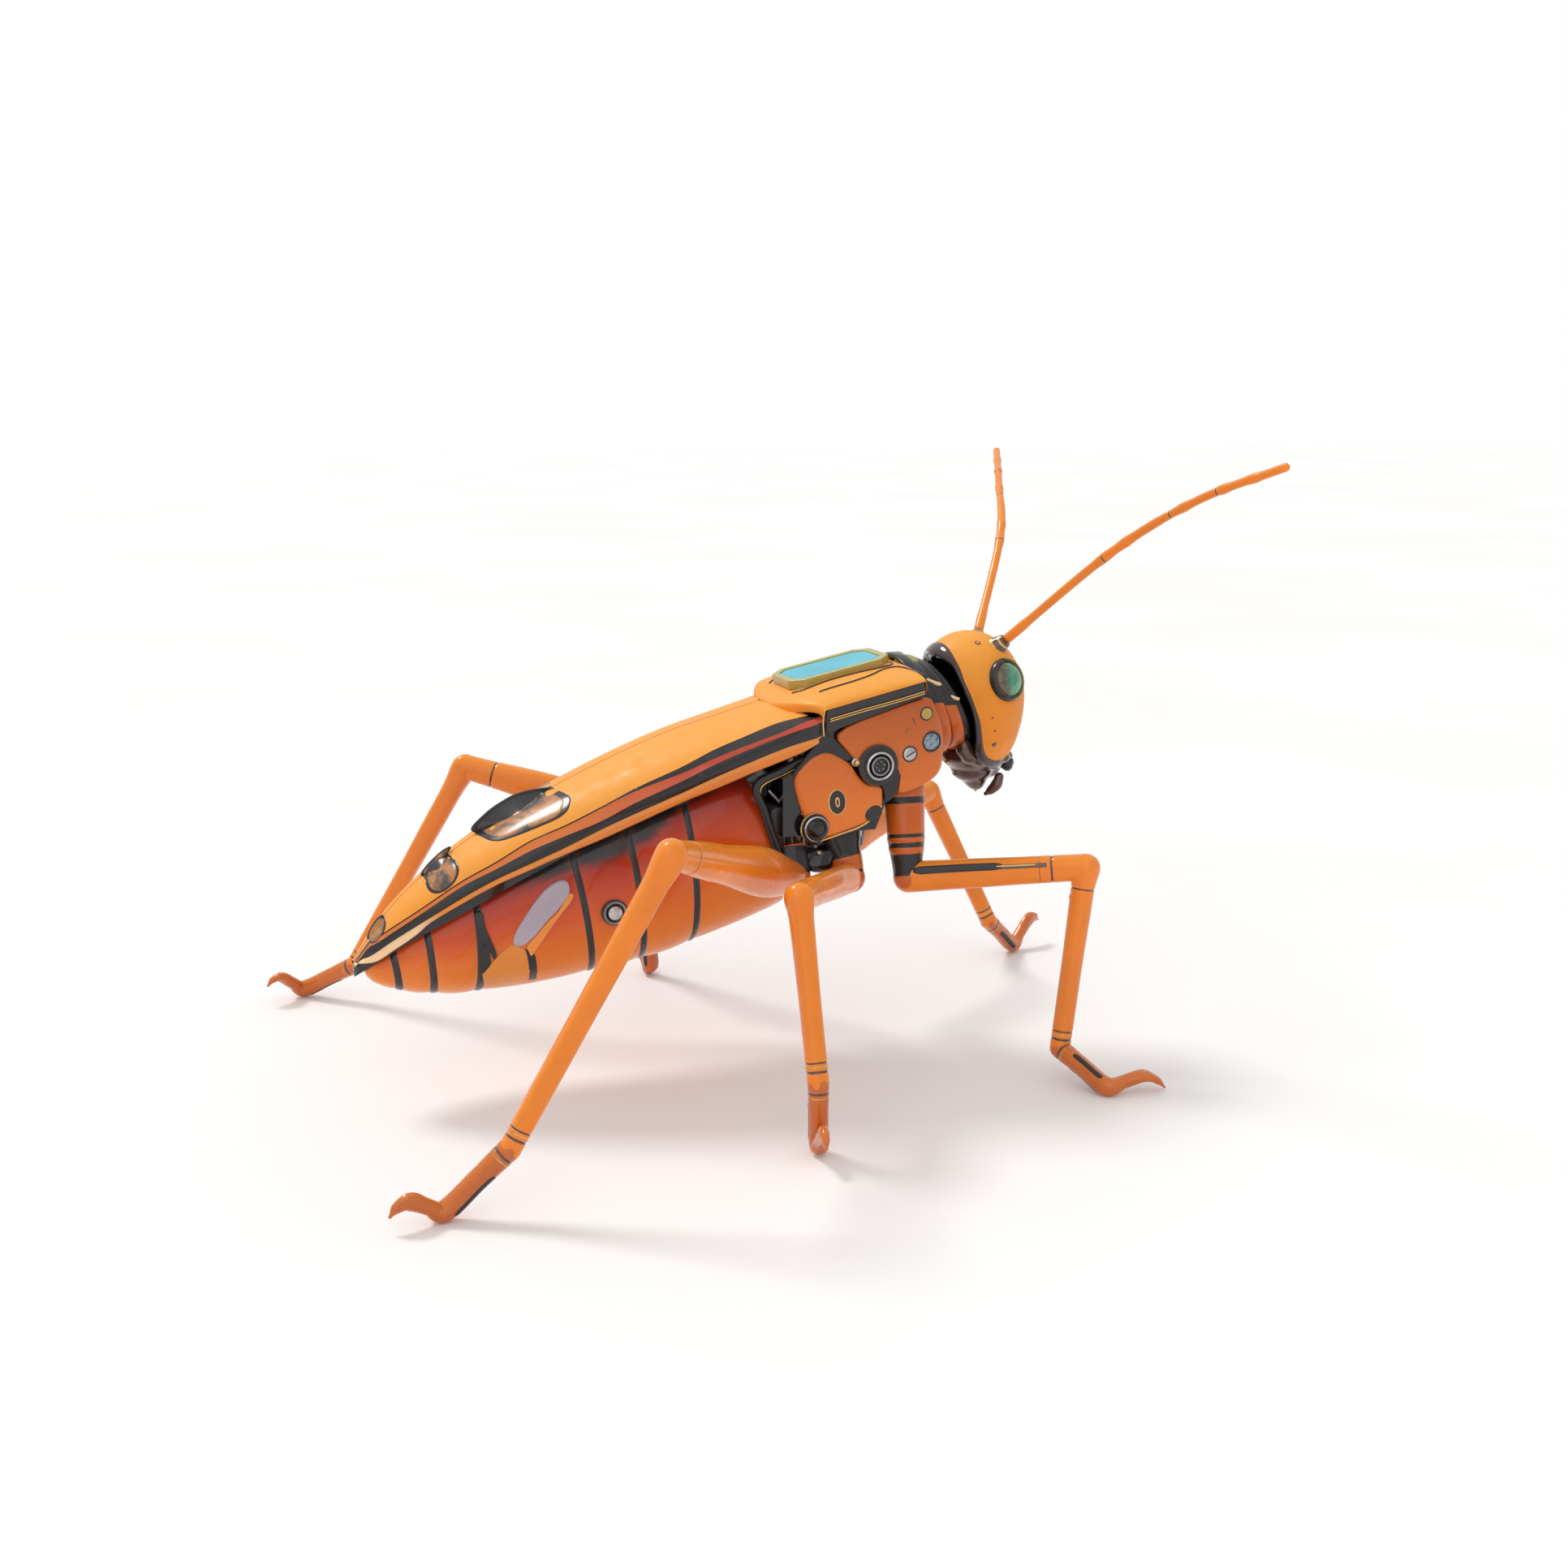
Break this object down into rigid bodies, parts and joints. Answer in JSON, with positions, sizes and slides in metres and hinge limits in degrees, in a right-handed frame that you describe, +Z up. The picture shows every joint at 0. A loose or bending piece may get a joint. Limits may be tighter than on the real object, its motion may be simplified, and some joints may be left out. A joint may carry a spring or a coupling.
{
  "type": "solar robot kit",
  "caption": "Posable grasshopper robot with a solar cell on its back, hinged legs with clawed feet, opening wing covers, a turning head and antennas.",
  "frame": {"origin": "under the middle of the whole figure, on the surface that it stands on", "axes": "+X towards the head, +Y to the robot's left side, +Z up"},
  "size_m": [0.2642, 0.1892, 0.1735],
  "materials": {
    "orange_gloss": "glossy moulded plastic, warm orange",
    "amber_gloss": "glossy moulded plastic, yellow orange",
    "deep_orange": "glossy moulded plastic, burnt orange",
    "charcoal": "glossy dark grey plastic with fine gold lines",
    "brown_metal": "lacquered dark brown",
    "solar_cell": "turquoise solar cell under clear resin",
    "olive_bezel": "glossy olive yellow",
    "eye_green": "deep green glassy lens",
    "lens_blue": "blue grey glassy lens",
    "window_grey": "lavender grey window",
    "steel": "bright machined steel",
    "board_green": "green circuit board",
    "cell_wrap": "printed cell wrap, plain"
  },
  "bodies": {
    "thorax": {"thorax_frame": "charcoal", "pronotum_cover": "amber_gloss", "solar_bezel": "olive_bezel", "solar_panel": "solar_cell", "trim_bands": "charcoal", "side_panels_front": "deep_orange", "side_panels_rear": "deep_orange", "side_bosses": "charcoal", "boss_screws": "steel", "side_lenses": "lens_blue", "side_screws": "steel", "hub_drums": "charcoal", "abdomen_shell": "deep_orange", "abdomen_gaskets": "charcoal", "abdomen_windows": "window_grey", "abdomen_bulkhead": "charcoal", "button_bezel": "charcoal", "battery": "cell_wrap", "control_board": "board_green", "drive_motor": "steel", "neck_post": "charcoal"},
    "coxa_front_right": {"coxa_front_right": "deep_orange"},
    "femur_front_right": {"femur_front_right": "orange_gloss"},
    "tibia_front_right": {"tibia_front_right": "orange_gloss"},
    "foot_front_right": {"foot_front_right": "orange_gloss"},
    "coxa_front_left": {"coxa_front_left": "deep_orange"},
    "femur_front_left": {"femur_front_left": "orange_gloss"},
    "tibia_front_left": {"tibia_front_left": "orange_gloss"},
    "foot_front_left": {"foot_front_left": "orange_gloss"},
    "coxa_middle_right": {"coxa_middle_right": "deep_orange"},
    "femur_middle_right": {"femur_middle_right": "orange_gloss"},
    "tibia_middle_right": {"tibia_middle_right": "orange_gloss"},
    "foot_middle_right": {"foot_middle_right": "orange_gloss"},
    "coxa_middle_left": {"coxa_middle_left": "deep_orange"},
    "femur_middle_left": {"femur_middle_left": "orange_gloss"},
    "tibia_middle_left": {"tibia_middle_left": "orange_gloss"},
    "foot_middle_left": {"foot_middle_left": "orange_gloss"},
    "coxa_hind_right": {"coxa_hind_right": "deep_orange"},
    "femur_hind_right": {"femur_hind_right": "orange_gloss"},
    "tibia_hind_right": {"tibia_hind_right": "orange_gloss"},
    "foot_hind_right": {"foot_hind_right": "orange_gloss"},
    "coxa_hind_left": {"coxa_hind_left": "deep_orange"},
    "femur_hind_left": {"femur_hind_left": "orange_gloss"},
    "tibia_hind_left": {"tibia_hind_left": "orange_gloss"},
    "foot_hind_left": {"foot_hind_left": "orange_gloss"},
    "neck_collar": {"neck_collar": "charcoal"},
    "head": {"head_shell": "amber_gloss", "eye_rims": "charcoal", "eye_lenses": "eye_green", "mouth_block": "brown_metal"},
    "mandible_right": {"mandible_right": "brown_metal"},
    "mandible_left": {"mandible_left": "brown_metal"},
    "antenna_right": {"antenna_right": "orange_gloss"},
    "antenna_left": {"antenna_left": "orange_gloss"},
    "wing_right": {"wing_cover_right": "amber_gloss", "wing_rail_right": "charcoal"},
    "wing_left": {"wing_cover_left": "amber_gloss", "wing_rail_left": "charcoal"},
    "power_button": {"power_button": "steel"},
    "eccentric_weight": {"eccentric_weight": "steel"}
  },
  "joints": [
    {"name": "hip_swing_front_right", "type": "hinge", "parent": "thorax", "child": "coxa_front_right", "pos_m": [0.04015, -0.0195, 0.06], "axis": [0, 0, 1], "range_deg": [-12, 15]},
    {"name": "femur_lift_front_right", "type": "hinge", "parent": "coxa_front_right", "child": "femur_front_right", "pos_m": [0.04015, -0.0254, 0.0548], "axis": [-0.5368, -0.8348, 0.1223], "range_deg": [-15, 20]},
    {"name": "knee_front_right", "type": "hinge", "parent": "femur_front_right", "child": "tibia_front_right", "pos_m": [0.08295, -0.0521, 0.0604], "axis": [-0.5368, -0.8348, 0.1223], "range_deg": [-15, 25]},
    {"name": "ankle_front_right", "type": "hinge", "parent": "tibia_front_right", "child": "foot_front_right", "pos_m": [0.07515, -0.0547, 0.0084], "axis": [0.9318, 0.3277, -0.1562], "range_deg": [-15, 20]},
    {"name": "hip_swing_front_left", "type": "hinge", "parent": "thorax", "child": "coxa_front_left", "pos_m": [0.04015, 0.0125, 0.06], "axis": [0, 0, -1], "range_deg": [-12, 15]},
    {"name": "femur_lift_front_left", "type": "hinge", "parent": "coxa_front_left", "child": "femur_front_left", "pos_m": [0.04015, 0.0184, 0.0548], "axis": [0.5417, -0.7928, 0.2792], "range_deg": [-15, 20]},
    {"name": "knee_front_left", "type": "hinge", "parent": "femur_front_left", "child": "tibia_front_left", "pos_m": [0.08045, 0.0484, 0.0618], "axis": [0.5417, -0.7928, 0.2792], "range_deg": [-15, 25]},
    {"name": "ankle_front_left", "type": "hinge", "parent": "tibia_front_left", "child": "foot_front_left", "pos_m": [0.10385, 0.0478, 0.0147], "axis": [-0.6777, 0.6494, -0.345], "range_deg": [-15, 20]},
    {"name": "hip_swing_middle_right", "type": "hinge", "parent": "thorax", "child": "coxa_middle_right", "pos_m": [0.02255, -0.0195, 0.06], "axis": [0, 0, 1], "range_deg": [-6, 10]},
    {"name": "femur_lift_middle_right", "type": "hinge", "parent": "coxa_middle_right", "child": "femur_middle_right", "pos_m": [0.02255, -0.0245, 0.056], "axis": [-0.8157, 0.5549, -0.1636], "range_deg": [-15, 15]},
    {"name": "knee_middle_right", "type": "hinge", "parent": "femur_middle_right", "child": "tibia_middle_right", "pos_m": [-0.00995, -0.0695, 0.0654], "axis": [-0.8157, 0.5549, -0.1636], "range_deg": [-20, 20]},
    {"name": "ankle_middle_right", "type": "hinge", "parent": "tibia_middle_right", "child": "foot_middle_right", "pos_m": [-0.00965, -0.0825, 0.0198], "axis": [-0.9934, 0.1088, -0.0376], "range_deg": [-15, 15]},
    {"name": "hip_swing_middle_left", "type": "hinge", "parent": "thorax", "child": "coxa_middle_left", "pos_m": [0.02255, 0.0125, 0.06], "axis": [0, 0, -1], "range_deg": [-6, 10]},
    {"name": "femur_lift_middle_left", "type": "hinge", "parent": "coxa_middle_left", "child": "femur_middle_left", "pos_m": [0.02255, 0.0175, 0.056], "axis": [0.8157, 0.5549, 0.1636], "range_deg": [-15, 15]},
    {"name": "knee_middle_left", "type": "hinge", "parent": "femur_middle_left", "child": "tibia_middle_left", "pos_m": [-0.00995, 0.0625, 0.0654], "axis": [0.8157, 0.5549, 0.1636], "range_deg": [-20, 20]},
    {"name": "ankle_middle_left", "type": "hinge", "parent": "tibia_middle_left", "child": "foot_middle_left", "pos_m": [-0.00965, 0.0755, 0.0198], "axis": [0.9934, 0.1088, 0.0376], "range_deg": [-15, 15]},
    {"name": "hip_swing_hind_right", "type": "hinge", "parent": "thorax", "child": "coxa_hind_right", "pos_m": [0.00595, -0.0195, 0.06], "axis": [0, 0, 1], "range_deg": [-6, 6]},
    {"name": "femur_lift_hind_right", "type": "hinge", "parent": "coxa_hind_right", "child": "femur_hind_right", "pos_m": [0.00595, -0.0241, 0.0572], "axis": [-0.6221, 0.6855, 0.3783], "range_deg": [-12, 12]},
    {"name": "knee_hind_right", "type": "hinge", "parent": "femur_hind_right", "child": "tibia_hind_right", "pos_m": [-0.04965, -0.0899, 0.085], "axis": [-0.6221, 0.6855, 0.3783], "range_deg": [-20, 25]},
    {"name": "ankle_hind_right", "type": "hinge", "parent": "tibia_hind_right", "child": "foot_hind_right", "pos_m": [-0.08995, -0.089, 0.0171], "axis": [-0.3025, -0.9384, 0.1671], "range_deg": [-20, 20]},
    {"name": "hip_swing_hind_left", "type": "hinge", "parent": "thorax", "child": "coxa_hind_left", "pos_m": [0.00595, 0.0125, 0.06], "axis": [0, 0, -1], "range_deg": [-6, 6]},
    {"name": "femur_lift_hind_left", "type": "hinge", "parent": "coxa_hind_left", "child": "femur_hind_left", "pos_m": [0.00595, 0.0171, 0.0572], "axis": [0.4669, 0.8787, 0.0997], "range_deg": [-12, 12]},
    {"name": "knee_hind_left", "type": "hinge", "parent": "femur_hind_left", "child": "tibia_hind_left", "pos_m": [-0.07165, 0.0558, 0.0795], "axis": [0.4669, 0.8787, 0.0997], "range_deg": [-20, 25]},
    {"name": "ankle_hind_left", "type": "hinge", "parent": "tibia_hind_left", "child": "foot_hind_left", "pos_m": [-0.10475, 0.081, 0.0124], "axis": [-0.5513, -0.8333, -0.041], "range_deg": [-20, 20]},
    {"name": "neck_turn", "type": "hinge", "parent": "thorax", "child": "neck_collar", "pos_m": [0.05555, -0.0035, 0.101], "axis": [0, 0, 1], "range_deg": [-20, 20]},
    {"name": "head_nod", "type": "hinge", "parent": "neck_collar", "child": "head", "pos_m": [0.05555, -0.0035, 0.101], "axis": [0, 1, 0], "range_deg": [-6, 10]},
    {"name": "mandible_open_right", "type": "hinge", "parent": "head", "child": "mandible_right", "pos_m": [0.07805, -0.0085, 0.0747], "axis": [0, 0, -1], "range_deg": [0, 25]},
    {"name": "mandible_open_left", "type": "hinge", "parent": "head", "child": "mandible_left", "pos_m": [0.07805, 0.0015, 0.0747], "axis": [0, 0, 1], "range_deg": [0, 25]},
    {"name": "antenna_lift_right", "type": "hinge", "parent": "head", "child": "antenna_right", "pos_m": [0.07695, -0.0134, 0.121], "axis": [-0.789, -0.6144, 0], "range_deg": [-20, 20]},
    {"name": "antenna_lift_left", "type": "hinge", "parent": "head", "child": "antenna_left", "pos_m": [0.07695, 0.0064, 0.121], "axis": [0.789, -0.6144, 0], "range_deg": [-20, 20]},
    {"name": "wing_open_right", "type": "hinge", "parent": "thorax", "child": "wing_right", "pos_m": [0.00905, -0.0225, 0.0952], "axis": [0, 0, 1], "range_deg": [0, 20]},
    {"name": "wing_open_left", "type": "hinge", "parent": "thorax", "child": "wing_left", "pos_m": [0.00905, 0.0155, 0.0952], "axis": [0, 0, -1], "range_deg": [0, 20]},
    {"name": "button_press", "type": "slide", "parent": "thorax", "child": "power_button", "axis": [0, 1, 0], "range_m": [0, 0.001], "stiffness_N_per_m": 300},
    {"name": "weight_spin", "type": "hinge", "parent": "thorax", "child": "eccentric_weight", "pos_m": [0.03735, -0.0035, 0.0932], "axis": [1, 0, 0], "continuous": true}
  ]
}
